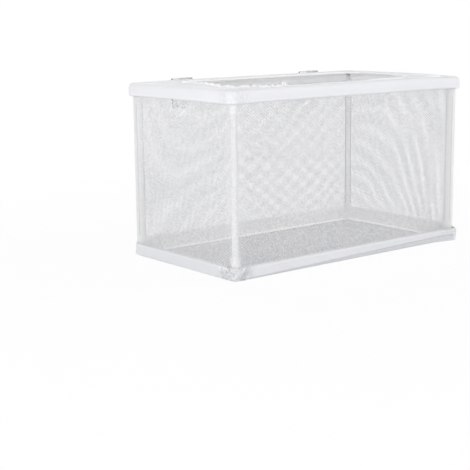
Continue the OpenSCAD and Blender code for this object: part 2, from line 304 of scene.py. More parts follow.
# Painted light and shade: a whiter copy of the connector plastic with painted dark rims, for the back right
# bottom socket.
inner_plastic_painted_rims = finish("inner_plastic_painted_rims", (0.97, 0.97, 0.97), (0.94, 0.94, 0.94), 60, 900, (0.26, 0.36), 0.06)
second_shade(inner_plastic_painted_rims, (0.5, 0.5, 0.5), rim_mask(inner_plastic_painted_rims, 0.55, 0.9))
for name, node in nodes.items():
    if name.startswith(("post_", "rail_")):
        dress(node, tube_plastic_painted_rims)
    if name.startswith("connector_"):
        dress(node, connector_plastic)
dress(nodes["post_back_right"], far_plastic_painted_rims)
dress(nodes["post_front_left"], near_plastic_painted_shade)
dress(nodes["connector_bottom_back_right"], inner_plastic_painted_rims)


# Net walls.
# Fine white polyester net with diamond holes, bonded where its threads cross. It is
# stretched round the posts, and the four walls meet halfway round each corner.

MM = 0.001
THREAD = 0.4 * MM
HOLE_WIDE = 3.3 * MM
HOLE_TALL = 2.42 * MM
LAYER_STEP = 0.38 * THREAD
NET_GAUGE = 0.5 * MM
post_low, post_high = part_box("post_front_right")
POST_X = (post_low.x + post_high.x) / 2
POST_Y = -(post_low.y + post_high.y) / 2
net_low, net_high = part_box("net_front")
side_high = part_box("net_right")[1]
NET_BEND = side_high.x - POST_X - NET_GAUGE / 2
NET_FOOT = net_low.z
NET_TOP = net_high.z
WALL_PULL = 1.5 * MM
BEND_LENGTH = 5 * MM

net_thread = finish("net_thread", (1.0, 1.0, 1.0), (0.695, 0.705, 0.73), 900, 1200, (0.45, 0.6), 0.1, 6.0)
# Painted light: the threads are painted white by the posts, as far as the attribute marks.
post_light_node = net_thread.node_tree.nodes.new("ShaderNodeAttribute")
post_light_node.attribute_name = "painted_post_light"
second_shade(net_thread, (1, 1, 1), post_light_node.outputs["Fac"])


def slice_across(plane, axis, side=""):
    """Cuts through the piece in edit mode at one place, and drops what lies past it on the named side"""
    where = Vector((0, 0, 0))
    where[axis] = plane
    way = Vector((0, 0, 0))
    way[axis] = 1
    low = side == "low"
    high = side == "high"
    bpy.ops.mesh.select_all(action="SELECT")
    bpy.ops.mesh.bisect(
        plane_co=where, plane_no=way, use_fill=low or high, clear_inner=low, clear_outer=high
    )


def slanted_threads(length, height, bends):
    """One set of parallel threads that fills a panel in the XZ plane, its lower edge at z = 0"""
    angle = math.atan2(HOLE_TALL, HOLE_WIDE)
    lean = height / math.tan(angle)
    count = int((length + lean) / HOLE_WIDE) + 2
    select_nothing()
    bpy.ops.mesh.primitive_cube_add(size=1)
    threads = bpy.context.object
    threads.data.transform(
        Matrix.Translation((-(length + lean) / 2, 0, height / 2))
        @ Matrix.Rotation(-angle, 4, "Y")
        @ Matrix.Diagonal((height / math.sin(angle) + 6 * MM, THREAD, THREAD, 1))
    )
    rows = threads.modifiers.new("rows", "ARRAY")
    rows.count = count
    rows.use_relative_offset = False
    rows.use_constant_offset = True
    rows.constant_offset_displace = (HOLE_WIDE, 0, 0)
    bpy.ops.object.modifier_apply(modifier=rows.name)
    bpy.ops.object.mode_set(mode="EDIT")
    slice_across(-length / 2, 0, "low")
    slice_across(length / 2, 0, "high")
    slice_across(0, 2, "low")
    slice_across(height, 2, "high")
    for bend in bends:
        slice_across(bend, 0)
    bpy.ops.object.mode_set(mode="OBJECT")
    return threads


def diamond_net(name, length, height, bends):
    """Two sets of threads that slant opposite ways, one just behind the other"""
    rising = slanted_threads(length, height, bends)
    rising.data.transform(Matrix.Translation((0, -LAYER_STEP, 0)))
    falling = slanted_threads(length, height, bends)
    falling.data.transform(Matrix.Translation((0, LAYER_STEP, 0)) @ Matrix.Diagonal((-1, 1, 1, 1)))
    falling.data.flip_normals()
    select_nothing()
    rising.select_set(True)
    falling.select_set(True)
    bpy.context.view_layer.objects.active = rising
    bpy.ops.object.join()
    rising.name = name
    return rising


def steps(start, end, count):
    """The places that part a stretch into a number of equal lengths"""
    return [start + (end - start) * i / count for i in range(1, count)]


def turned(along, out, height, quarter):
    """A point given along and out from a wall: front 0, right 1, back 2, left 3"""
    x, y = ((along, -out), (out, along), (-along, out), (-out, -along))[quarter]
    return Vector((x, y, height))


def ripple(point, size, seed):
    """Smooth unevenness from -1 to 1, the same on every run"""
    return noise.noise(point / size + Vector((seed * 7.3, seed * 3.1, seed * 5.7)))


# Painted light: the threads are painted whiter near the posts, more at the corners that the
# lamps light more. How much, and how far it reaches: front right, back right, back left, front left.
POST_PAINTED_LIGHT = (0.95, 0.2, 0.75, 0.3)
POST_PAINTED_LIGHT_WIDTH = (13 * MM, 13 * MM, 13 * MM, 1.5 * MM)


def hang_wall(net, run, reach, quarter):
    """Bends a flat net round the posts at both ends, draws its middle in and marks the painted light by the
    posts
    """
    painted_post_light = net.data.attributes.new("painted_post_light", "FLOAT", "POINT")
    half = run + math.pi / 4 * NET_BEND
    middle = (NET_TOP + NET_FOOT) / 2
    tall = (NET_TOP - NET_FOOT) / 2
    for vertex in net.data.vertices:
        along, depth, height = vertex.co.x, vertex.co.y, vertex.co.z + NET_FOOT
        corner = quarter if along > 0 else (quarter - 1) % 4
        # Painted light near the posts, its amount set per corner.
        close = max(0.0, min(1.0, 1 - (run - abs(along)) / POST_PAINTED_LIGHT_WIDTH[corner]))
        painted_post_light.data[vertex.index].value = POST_PAINTED_LIGHT[corner] * close
        inner = (1 - (along / half) ** 8) * (1 - ((height - middle) / tall) ** 8)
        here = Vector((along, height, quarter * 0.5))
        along += 0.6 * MM * inner * ripple(here, 24 * MM, 1)
        height += 0.6 * MM * inner * ripple(here, 30 * MM, 2)
        bow = (1 - (along / half) ** 2) * (1 - ((height - middle) / tall) ** 2)
        out = reach + NET_BEND - depth - WALL_PULL * bow + 0.5 * MM * inner * ripple(here, 38 * MM, 3)
        if abs(along) > run:
            angle = (abs(along) - run) / NET_BEND
            ring = NET_BEND - depth
            out += ring * (math.cos(angle) - 1)
            along = math.copysign(run + ring * math.sin(angle), along)
        vertex.co = turned(along, out, height, quarter)
    net.data.update()


def net_wall(name, node, run, reach, quarter):
    """One wall: run is half the straight part, reach the distance from the box's middle to its posts"""
    edge = math.pi / 4 * NET_BEND
    length = 2 * (run + edge)
    height = NET_TOP - NET_FOOT
    bends = [
        *steps(-length / 2, -run, 4),
        -run,
        *steps(-run, run, round(run / BEND_LENGTH)),
        run,
        *steps(run, length / 2, 4),
    ]
    net = diamond_net(name, length, height, bends)
    hang_wall(net, run, reach, quarter)
    dress(net, net_thread)
    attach(net, "frame")
    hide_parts(node)


net_wall("front_net", "net_front", POST_X, POST_Y, 0)
net_wall("right_net", "net_right", POST_Y, POST_X, 1)
net_wall("back_net", "net_back", POST_X, POST_Y, 2)
net_wall("left_net", "net_left", POST_Y, POST_X, 3)


# Net floor.
# The same net, laid flat between the ribbon's inner edges. At the back and the right
# its edge turns up to the foot of the taller linings.

floor_low, floor_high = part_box("net_floor")
# Painted shade: the floor's threads are a darker copy of the wall net's, for the shade inside the box.
floor_thread_painted_shade = finish(
    "floor_thread_painted_shade", (0.9, 0.9, 0.915), (0.58, 0.58, 0.605), 900, 1200, (0.5, 0.65), 0.1, 5.0
)
FLOOR_LIFT = 2.2 * MM
FLOOR_RIM = 6 * MM


def net_floor():
    length = floor_high.x - floor_low.x
    width = floor_high.y - floor_low.y
    net = diamond_net("floor_net", length, width, steps(-length / 2, length / 2, 28))
    for vertex in net.data.vertices:
        x, depth, y = vertex.co.x, vertex.co.y, vertex.co.z + floor_low.y
        here = Vector((x, y, 0))
        inner = (1 - (2 * x / length) ** 8) * (1 - (2 * y / width) ** 8)
        x += 0.5 * MM * inner * ripple(here, 26 * MM, 4)
        y += 0.5 * MM * inner * ripple(here, 26 * MM, 5)
        rim = min(length / 2 - x, width / 2 - y)
        lift = FLOOR_LIFT * max(0.0, 1 - rim / FLOOR_RIM) ** 2
        vertex.co = Vector((x, y, floor_high.z - depth + lift + 0.2 * MM * ripple(here, 40 * MM, 6)))
    dress(net, floor_thread_painted_shade)
    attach(net, "frame")
    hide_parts("net_floor")


net_floor()


# Base binding.
# A white ribbon sewn over the foot of the net, round the bottom rails and in under
# the floor. It creases along the rail and crumples most at the front left corner.

binding_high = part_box("base_binding")[1]


def closed_strip(name, around, across):
    """A flat grid with many faces along it, for shape_strip to bend into a ring"""
    select_nothing()
    bpy.ops.mesh.primitive_grid_add(x_subdivisions=around, y_subdivisions=across, size=1)
    strip = bpy.context.object
    strip.name = name
    return strip


CORNER_SHARE = 12 * MM
STRIP_LENGTH = 0.8
WELD_GAP = 0.01 * MM


def outline(share, core, radius):
    """A point and the outward direction on a rectangle with round corners.

    share runs from 0 to 1 round it, from the middle of the front side to the right."""
    arc = CORNER_SHARE
    sides = [core[0], arc, 2 * core[1], arc, 2 * core[0], arc, 2 * core[1], arc, core[0]]
    at = share * sum(sides)
    index = 0
    while index < 8 and at > sides[index]:
        at -= sides[index]
        index += 1
    part = min(at / sides[index], 1)
    corners = [(1, -1), (1, 1), (-1, 1), (-1, -1)]
    if index % 2 == 1:
        sx, sy = corners[index // 2]
        angle = math.radians(-90 + 90 * (index // 2) + 90 * part)
        direction = Vector((math.cos(angle), math.sin(angle)))
        return Vector((sx * core[0], sy * core[1])) + direction * radius, direction
    side = index // 2
    if side == 0:
        return Vector((part * core[0], -core[1] - radius)), Vector((0, -1))
    if side == 1:
        return Vector((core[0] + radius, core[1] * (2 * part - 1))), Vector((1, 0))
    if side == 2:
        return Vector((core[0] * (1 - 2 * part), core[1] + radius)), Vector((0, 1))
    if side == 3:
        return Vector((-core[0] - radius, core[1] * (1 - 2 * part))), Vector((-1, 0))
    return Vector((-core[0] * (1 - part), -core[1] - radius)), Vector((0, -1))


def shape_strip(strip, place, thickness, width):
    """Puts each grid point at place(share, row), welds the ring and gives it a thickness.

    The UV map is in metres, width being the strip's own."""
    mesh = strip.data
    uv = mesh.uv_layers.active or mesh.uv_layers.new(name="UVMap")
    for loop in mesh.loops:
        co = mesh.vertices[loop.vertex_index].co
        uv.data[loop.index].uv = ((co.x + 0.5) * STRIP_LENGTH, (co.y + 0.5) * width)
    for vertex in mesh.vertices:
        vertex.co = place(vertex.co.x + 0.5, vertex.co.y + 0.5)
    select_nothing()
    strip.select_set(True)
    bpy.context.view_layer.objects.active = strip
    bpy.ops.object.mode_set(mode="EDIT")
    bpy.ops.mesh.select_all(action="SELECT")
    bpy.ops.mesh.remove_doubles(threshold=WELD_GAP)
    bpy.ops.mesh.normals_make_consistent(inside=False)
    bpy.ops.object.mode_set(mode="OBJECT")
    body = strip.modifiers.new("thickness", "SOLIDIFY")
    body.thickness = thickness
    body.offset = -1
    bpy.ops.object.modifier_apply(modifier=body.name)
    bpy.ops.object.shade_smooth()


def curve_through(points, share):
    """A point on a smooth line through the given points"""
    at = share * (len(points) - 1)
    i = min(int(at), len(points) - 2)
    t = at - i
    a, b = Vector(points[max(i - 1, 0)]), Vector(points[i])
    c, d = Vector(points[i + 1]), Vector(points[min(i + 2, len(points) - 1)])
    bend = (2 * a - 5 * b + 4 * c - d) * t * t + (3 * b - a - 3 * c + d) * t ** 3
    return 0.5 * (2 * b + (c - a) * t + bend)


def weave_group():
    """Plain weave on a UV map in metres: two crossing sets of ribs"""
    group, given, made = shader_group(
        "weave",
        [("Ribs per metre", "NodeSocketFloat", 1600.0), ("Cross share", "NodeSocketFloat", 0.5)],
        [("Height", "NodeSocketFloat")],
    )
    where = group.nodes.new("ShaderNodeTexCoord")
    parts = group.nodes.new("ShaderNodeSeparateXYZ")
    group.links.new(where.outputs["UV"], parts.inputs[0])
    waves = []
    for axis in ("X", "Y"):
        scaled = group.nodes.new("ShaderNodeMath")
        scaled.operation = "MULTIPLY"
        group.links.new(parts.outputs[axis], scaled.inputs[0])
        group.links.new(given.outputs["Ribs per metre"], scaled.inputs[1])
        turn = group.nodes.new("ShaderNodeMath")
        turn.operation = "MULTIPLY"
        turn.inputs[1].default_value = 2 * math.pi
        group.links.new(scaled.outputs[0], turn.inputs[0])
        wave = group.nodes.new("ShaderNodeMath")
        wave.operation = "SINE"
        group.links.new(turn.outputs[0], wave.inputs[0])
        waves.append(wave)
    cross = group.nodes.new("ShaderNodeMath")
    cross.operation = "MULTIPLY"
    group.links.new(waves[1].outputs[0], cross.inputs[0])
    group.links.new(given.outputs["Cross share"], cross.inputs[1])
    both = group.nodes.new("ShaderNodeMath")
    both.operation = "ADD"
    group.links.new(waves[0].outputs[0], both.inputs[0])
    group.links.new(cross.outputs[0], both.inputs[1])
    group.links.new(both.outputs[0], made.inputs["Height"])
    return group


WEAVE = weave_group()


def cloth(name, shade, other, rough, ribs, cross, bump, sheen):
    """Cloth: the mottle of plastic, softer, with a weave and a sheen"""
    material = finish(name, shade, other, 35, 500, rough, bump)
    tree = material.node_tree
    surface = tree.nodes["Principled BSDF"]
    surface.inputs["Sheen Weight"].default_value = sheen
    surface.inputs["Sheen Roughness"].default_value = 0.4
    weave = tree.nodes.new("ShaderNodeGroup")
    weave.node_tree = WEAVE
    weave.inputs["Ribs per metre"].default_value = ribs
    weave.inputs["Cross share"].default_value = cross
    threads = tree.nodes.new("ShaderNodeBump")
    threads.inputs["Strength"].default_value = 0.25
    threads.inputs["Distance"].default_value = 0.00006
    tree.links.new(weave.outputs["Height"], threads.inputs["Height"])
    grain = next(n for n in tree.nodes if n.type == "BUMP" and n != threads)
    tree.links.new(grain.outputs["Normal"], threads.inputs["Normal"])
    tree.links.new(threads.outputs["Normal"], surface.inputs["Normal"])
    return material


def painted_crease_shade_group():
    """Painted shade: darkens cloth in irregular lines close to one corner, and along its folds"""
    group, given, made = shader_group(
        "painted_crease_shade",
        [
            ("Shade", "NodeSocketColor", (0.84, 0.85, 0.87, 1)),
            ("Crease shade", "NodeSocketColor", (0.56, 0.575, 0.6, 1)),
            ("Corner", "NodeSocketVector", (-0.124, -0.065, 0.0)),
            ("Reach", "NodeSocketFloat", 0.016),
            ("Fold", "NodeSocketFloat", 0.0),
        ],
        [("Color", "NodeSocketColor")],
    )
    where = group.nodes.new("ShaderNodeTexCoord")
    offset = group.nodes.new("ShaderNodeVectorMath")
    offset.operation = "SUBTRACT"
    group.links.new(where.outputs["Object"], offset.inputs[0])
    group.links.new(given.outputs["Corner"], offset.inputs[1])
    distance = group.nodes.new("ShaderNodeVectorMath")
    distance.operation = "LENGTH"
    group.links.new(offset.outputs[0], distance.inputs[0])
    near = group.nodes.new("ShaderNodeMapRange")
    near.inputs["From Min"].default_value = 0.007
    near.inputs["To Min"].default_value = 1.0
    near.inputs["To Max"].default_value = 0.0
    group.links.new(distance.outputs["Value"], near.inputs["Value"])
    group.links.new(given.outputs["Reach"], near.inputs["From Max"])
    lines = group.nodes.new("ShaderNodeTexNoise")
    lines.inputs["Scale"].default_value = 420
    lines.inputs["Detail"].default_value = 4
    group.links.new(where.outputs["Object"], lines.inputs["Vector"])
    sharp = group.nodes.new("ShaderNodeMapRange")
    sharp.inputs["From Min"].default_value = 0.36
    sharp.inputs["From Max"].default_value = 0.62
    group.links.new(lines.outputs["Fac"], sharp.inputs["Value"])
    amount = group.nodes.new("ShaderNodeMath")
    amount.operation = "MULTIPLY"
    group.links.new(near.outputs["Result"], amount.inputs[0])
    group.links.new(sharp.outputs["Result"], amount.inputs[1])
    most = group.nodes.new("ShaderNodeMath")
    most.operation = "MAXIMUM"
    group.links.new(amount.outputs[0], most.inputs[0])
    group.links.new(given.outputs["Fold"], most.inputs[1])
    shade = group.nodes.new("ShaderNodeMix")
    shade.data_type = "RGBA"
    group.links.new(most.outputs[0], shade.inputs["Factor"])
    group.links.new(given.outputs["Shade"], shade.inputs["A"])
    group.links.new(given.outputs["Crease shade"], shade.inputs["B"])
    group.links.new(shade.outputs["Result"], made.inputs["Color"])
    return group


CREASE_SHADE_GROUP = painted_crease_shade_group()


def add_painted_crease_shade(material, height, shade, reach):
    """Adds painted crease shade to a cloth, near the front left corner at one height, and along the painted
    fold shade
    """
    tree = material.node_tree
    surface = tree.nodes["Principled BSDF"]
    plain = surface.inputs["Base Color"].links[0].from_socket
    crease_shade_node = tree.nodes.new("ShaderNodeGroup")
    crease_shade_node.node_tree = CREASE_SHADE_GROUP
    crease_shade_node.inputs["Crease shade"].default_value = (*shade, 1)
    crease_shade_node.inputs["Corner"].default_value = (-POST_X, -POST_Y, height)
    crease_shade_node.inputs["Reach"].default_value = reach
    fold = tree.nodes.new("ShaderNodeAttribute")
    fold.attribute_name = "painted_fold_shade"
    tree.links.new(fold.outputs["Fac"], crease_shade_node.inputs["Fold"])
    tree.links.new(plain, crease_shade_node.inputs["Shade"])
    tree.links.new(crease_shade_node.outputs["Color"], surface.inputs["Base Color"])


ribbon_cloth = cloth(
    "ribbon_cloth", (0.82, 0.83, 0.85), (0.77, 0.78, 0.81), (0.6, 0.75), 1300, 0.7, 0.25, 0.15
)
# Painted shade in the crumples at the front left corner, and along the crease and under it.
add_painted_crease_shade(ribbon_cloth, 3 * MM, (0.56, 0.575, 0.6), 16 * MM)
FRAME_CORE = (POST_X, POST_Y)
PATH_RADIUS = 0.1 * MM
CORNERS = ((-1, -1), (1, -1), (1, 1), (-1, 1))
CORNER_REACH = 18 * MM
CORNER_BULGE = 2.4 * MM
FLAT_HEIGHT = 0.05 * MM
RIBBON_OUT = binding_high.x - POST_X
RIBBON_HIGH = binding_high.z
RIBBON_IN = POST_X - floor_high.x - 0.1 * MM


def near_corner(point, where, size):
    """1 at a corner of the box, falling to 0 at a distance"""
    gap = (Vector((point.x, point.y)) - Vector(where)).length
    return max(0.0, 1 - gap / size)


def crease_height(point):
    """Height of the crease over the rail: it climbs along the front and is low on the left"""
    climb = 1.2 * MM + 4.5 * MM * (point.x + POST_X) / (2 * POST_X)
    if point.y < -POST_Y:
        return climb + 0.3 * MM * ripple(point, 20 * MM, 19)
    if point.x < -POST_X:
        return 1.2 * MM
    return 3.2 * MM + 1.2 * MM * ripple(point, 40 * MM, 19)


def ribbon_profile(crease, slope):
    """The ribbon's section, from its edge on the wall down to its edge under the floor"""
    return [
        (RIBBON_OUT - 0.45 * MM, RIBBON_HIGH),
        (RIBBON_OUT - 0.15 * MM, RIBBON_HIGH - 0.5 * MM),
        (RIBBON_OUT, RIBBON_HIGH - 1.4 * MM),
        (RIBBON_OUT + 0.1 * MM, 0.6 * RIBBON_HIGH + 0.4 * crease),
        (RIBBON_OUT + 0.25 * MM, crease + 0.45 * MM),
        (RIBBON_OUT - 0.6 * slope, crease - 0.35 * MM),
        (RIBBON_OUT - 0.8 * slope, 0.62 * crease),
        (RIBBON_OUT - 1.4 * slope, 0.25 * crease),
        (RIBBON_OUT - 2.4 * slope, FLAT_HEIGHT),
        (0.5 * MM, FLAT_HEIGHT),
        (-RIBBON_IN, FLAT_HEIGHT),
    ]


def binding_place(share, row):
    """Ribbon from its edge on the wall, down, over the crease, round the bend and in"""
    base, way = outline(share, FRAME_CORE, PATH_RADIUS)
    crease = crease_height(Vector((base.x, base.y, 0)))
    front_left, front_right, back_right, back_left = (
        near_corner(base, (x * POST_X, y * POST_Y), CORNER_REACH) for x, y in CORNERS
    )
    slope = MM * (1 - 0.85 * front_right ** 0.5)
    spot = curve_through(ribbon_profile(crease, slope), row)
    here = Vector((base.x, base.y, spot.y))
    on_wall = 1 - min(row * 1.5, 1)
    soft = 0.35 * MM * ripple(here, 14 * MM, 7) + 0.2 * MM * ripple(here, 5 * MM, 8)
    crumple = max(front_left, 0.25 * front_right, 0.25 * back_right, 0.12 * back_left) ** 0.6
    slant = (abs(base.x) - abs(base.y) + 0.7 * spot.y) / (4.4 * MM) + 1.2 * ripple(here, 6 * MM, 20)
    pleat = 2 * abs(slant % 1 * 2 - 1) - 1
    fold = crumple * (1.3 * MM * pleat + 1.6 * MM * ripple(here, 3 * MM, 9))
    bulge = CORNER_BULGE * front_right * min(1, max(0, (0.93 - row) / 0.13))
    flat = base + way * (spot.x + (soft + fold) * min(1, 3 * on_wall + 0.2) + bulge)
    height = spot.y + on_wall * 0.35 * MM * ripple(here, 22 * MM, 10)
    return Vector((flat.x, flat.y, max(height, FLAT_HEIGHT)))


def paint_fold_shade(ribbon):
    """Painted shade: darkens the front of the ribbon along its crease and, less, under it"""
    painted_fold_shade = ribbon.data.attributes.new("painted_fold_shade", "FLOAT", "POINT")
    for vertex in ribbon.data.vertices:
        spot = vertex.co
        if spot.y < -POST_Y - 3 * MM and abs(spot.x) < POST_X:
            below = crease_height(Vector((spot.x, -POST_Y - PATH_RADIUS, 0))) - spot.z
            climb = (spot.x + POST_X) / (2 * POST_X)
            line = math.exp(-((below / (0.45 * MM)) ** 2))
            under = max(0.0, min(1.0, below / (0.6 * MM)))
            painted_fold_shade.data[vertex.index].value = max(0.36 * under, line * (0.3 + 0.65 * climb))


binding = closed_strip("ribbon_binding", 960, 44)
shape_strip(binding, binding_place, 0.7 * MM, 0.024)
paint_fold_shade(binding)
dress(binding, ribbon_cloth)
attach(binding, "frame")
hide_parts("base_binding")


# Linings and their seams.
# Strips of white cloth that close the channels round the rails, between the corner
# sockets. The foot of each bottom lining is sewn to the floor in a beaded line, made bright
# by a painted glow; the top linings have a fainter painted glow.

SOCKET_GAP = 7.6 * MM
LINING_WIDTH = 16 * MM
SEAM_OUT = -6.4 * MM


def lining_place(along, spot, quarter):
    """A point of a lining, given its place along the wall and its distance past the posts' line"""
    reach = (POST_Y, POST_X)[quarter % 2]
    here = Vector((along, spot.y, quarter * 0.4))
    out = reach + spot.x + 0.3 * MM * ripple(here, 24 * MM, 21)
    return turned(along, out, spot.y + 0.15 * MM * ripple(here, 30 * MM, 22), quarter)


def lining(name, node, points, quarter, material):
    """A strip of cloth that closes the channel round one rail, seen inside the box"""
    half = (POST_X, POST_Y)[quarter % 2] - SOCKET_GAP
    select_nothing()
    bpy.ops.mesh.primitive_grid_add(x_subdivisions=round(half / (1.5 * MM)), y_subdivisions=16, size=1)
    strip = bpy.context.object
    strip.name = name
    uv = strip.data.uv_layers.active
    for loop in strip.data.loops:
        co = strip.data.vertices[loop.vertex_index].co
        uv.data[loop.index].uv = (2 * half * co.x, LINING_WIDTH * co.y)
    for vertex in strip.data.vertices:
        spot = curve_through(points, vertex.co.y + 0.5)
        vertex.co = lining_place(2 * half * vertex.co.x, spot, quarter)
    body = strip.modifiers.new("thickness", "SOLIDIFY")
    body.thickness = 0.4 * MM
    body.offset = 0
    bpy.ops.object.modifier_apply(modifier=body.name)
    bpy.ops.object.shade_smooth_by_angle()
    dress(strip, material)
    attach(strip, "frame")
    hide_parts(node)


def in_metres(*profile):
    """A profile given in mm: distance out from the posts' line, and height"""
    return [tuple(MM * value for value in point) for point in profile]


# The bottom linings stand taller at the right and the back than at the front and the left.
SHORT_PROFILE = in_metres((4.4, 10.4), (1, 10.35), (-2.6, 9.3), (-4.6, 6.6), (-4.9, 3.5), (-4.95, 0.6))
TALL_PROFILE = in_metres((4.4, 14.4), (1.5, 14.2), (-2.2, 12.4), (-4.3, 9.0), (-5.0, 6.0), (-5.3, 3.2))
BOTTOM_PROFILES = (SHORT_PROFILE, TALL_PROFILE, TALL_PROFILE, SHORT_PROFILE)
TOP_PROFILE = [(out, NET_TOP + 0.9 * MM - height) for out, height in SHORT_PROFILE]
SEAM_HEIGHTS = (1.6 * MM, 3.6 * MM, 3.6 * MM, 1.6 * MM)


def add_painted_glow(material, strength):
    """Painted light: a faint glow of the cloth's own, though it is no lamp"""
    surface = material.node_tree.nodes["Principled BSDF"]
    surface.inputs["Emission Color"].default_value = (1, 1, 1, 1)
    surface.inputs["Emission Strength"].default_value = strength


seam_thread = cloth("seam_thread", (0.98, 0.98, 0.98), (0.95, 0.95, 0.955), (0.5, 0.6), 700, 0.1, 0.2, 0.1)
bead_thread = cloth("bead_thread", (1.0, 1.0, 1.0), (0.98, 0.98, 0.98), (0.5, 0.6), 700, 0.1, 0.2, 0.1)
thin_cloth = cloth("thin_cloth", (0.98, 0.98, 0.98), (0.95, 0.95, 0.955), (0.5, 0.6), 1300, 0.7, 0.2, 0.1)
# Painted light: the bead seams and the top linings glow faintly.
add_painted_glow(bead_thread, 0.3)
add_painted_glow(thin_cloth, 0.1)
lining_cloth = cloth(
    "lining_cloth", (0.91, 0.905, 0.895), (0.87, 0.865, 0.855), (0.6, 0.75), 1300, 0.7, 0.2, 0.1
)


def lining_seam(name, node, quarter):
    """The bottom lining's turned foot, drawn into beads by its close zigzag"""
    half = (POST_X, POST_Y)[quarter % 2] - SOCKET_GAP
    reach = (POST_Y, POST_X)[quarter % 2]
    select_nothing()
    bpy.ops.mesh.primitive_cylinder_add(
        vertices=8, radius=0.75 * MM, depth=2 * half, rotation=(0, math.pi / 2, 0)
    )
    seam = bpy.context.object
    seam.name = name
    bpy.ops.object.transform_apply(location=True, rotation=True, scale=True)
    bpy.ops.object.mode_set(mode="EDIT")
    for place in steps(-half, half, round(2 * half / (0.9 * MM))):
        slice_across(place, 0)
    bpy.ops.object.mode_set(mode="OBJECT")
    for vertex in seam.data.vertices:
        along, out, up = vertex.co
        turn = 2 * math.pi * along / (3.6 * MM)
        size = 1 + 0.25 * math.sin(turn)
        out = SEAM_OUT + size * out + 0.3 * MM * math.sin(turn / 2)
        vertex.co = turned(along, reach + out, SEAM_HEIGHTS[quarter] + size * up, quarter)
    bpy.ops.object.mode_set(mode="EDIT")
    bpy.ops.mesh.select_all(action="SELECT")
    bpy.ops.mesh.normals_make_consistent(inside=False)
    bpy.ops.object.mode_set(mode="OBJECT")
    bpy.ops.object.shade_smooth_by_angle()
    dress(seam, bead_thread)
    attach(seam, "frame")
    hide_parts(node)


for quarter, side in enumerate(("front", "right", "back", "left")):
    lining("lining_bottom_" + side, "base_binding", BOTTOM_PROFILES[quarter], quarter, lining_cloth)
    lining("lining_top_" + side, "top_hem", TOP_PROFILE, quarter, thin_cloth)
    lining_seam("lining_seam_" + side, "base_binding", quarter)


# Top hem.
# Smooth white cloth folded over the top of the net and rails. It stands out over the
# walls, turns over a soft edge and runs on as a flange to the elastic of the opening.

hem_low, hem_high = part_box("top_hem")
elastic_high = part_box("opening_elastic")[1]
HEM_OUT = hem_high.x - POST_X
HEM_FOOT = hem_low.z
HEM_TOP = hem_high.z
MOUTH_RADIUS = 16.4 * MM
MOUTH_CORE = (elastic_high.x - MOUTH_RADIUS, elastic_high.y - MOUTH_RADIUS)

hem_satin = cloth("hem_satin", (0.89, 0.9, 0.92), (0.855, 0.865, 0.895), (0.6, 0.72), 1900, 0.15, 0.12, 0.2)
# Painted shade in irregular lines at the front left corner of the hem, where the front lamp lights it most.
add_painted_crease_shade(hem_satin, HEM_FOOT + 6 * MM, (0.78, 0.79, 0.815), 15 * MM)


GATHER_PLACE = Vector((-88 * MM, -24 * MM))
GATHER_REACH = 55 * MM


def gathered(point):
    """How strongly the cloth is gathered: most at the front left of the opening"""
    gap = (Vector((point.x, point.y)) - GATHER_PLACE).length
    return 0.35 + 1.1 * max(0.0, 1 - gap / GATHER_REACH)


PUCKERS = 68
HEM_SPLIT = 0.4
CORNER_SAG = 1.4 * MM
SAG_REACH = 60 * MM
FLANGE_RADIUS = 1.5 * MM


def pucker(share, point):
    """0 in a pinch and 1 between two pinches of the gathered edge"""
    return abs(math.sin(math.pi * PUCKERS * share + 2.5 * ripple(point, 24 * MM, 16)))


def droop(point):
    """How far the inner edge of the flange hangs: the slack front more than the rest"""
    front = max(0.0, min(1.0, (-point.y - 0.4 * MOUTH_CORE[1]) / (0.6 * MOUTH_CORE[1])))
    middle = max(0.0, 1 - (point.x / (MOUTH_CORE[0] + MOUTH_RADIUS)) ** 2)
    return 2.9 * MM * front * (0.45 + 0.55 * middle)


def flange_place(share, part):
    """The flange, from the posts' line at 0 in to the elastic at 1"""
    core = tuple(a + (b - a) * part for a, b in zip(FRAME_CORE, MOUTH_CORE))
    radius = FLANGE_RADIUS + (MOUTH_RADIUS - FLANGE_RADIUS) * part
    base = outline(share, core, radius)[0]
    here = Vector((base.x, base.y, 0))
    pull = part * part
    wave = 2 * pucker(share, here) - 1
    height = HEM_TOP - 0.15 * MM - 0.5 * MM * math.sin(math.pi * part)
    height += pull * gathered(here) * 0.55 * MM * wave + 0.35 * MM * ripple(here, 26 * MM, 12) * part
    sag = near_corner(base, (POST_X, -POST_Y), SAG_REACH)
    height -= CORNER_SAG * sag * sag * (1 - part) + droop(base) * part ** 1.5
    return Vector((base.x, base.y, height))


HEM_PROFILE = [
    (5.3 * MM, HEM_FOOT + 0.9 * MM),
    (6.4 * MM, HEM_FOOT + 0.1 * MM),
    (HEM_OUT - 0.8 * MM, HEM_FOOT + 0.15 * MM),
    (HEM_OUT - 0.15 * MM, HEM_FOOT + 1.4 * MM),
    (HEM_OUT, HEM_FOOT + 4 * MM),
    (HEM_OUT - 0.05 * MM, HEM_FOOT + 7 * MM),
    (HEM_OUT - 0.5 * MM, HEM_FOOT + 9.2 * MM),
    (HEM_OUT - 1.7 * MM, HEM_FOOT + 10.5 * MM),
    (HEM_OUT - 3.6 * MM, HEM_FOOT + 10.9 * MM),
    (FLANGE_RADIUS, HEM_TOP - 0.15 * MM),
]


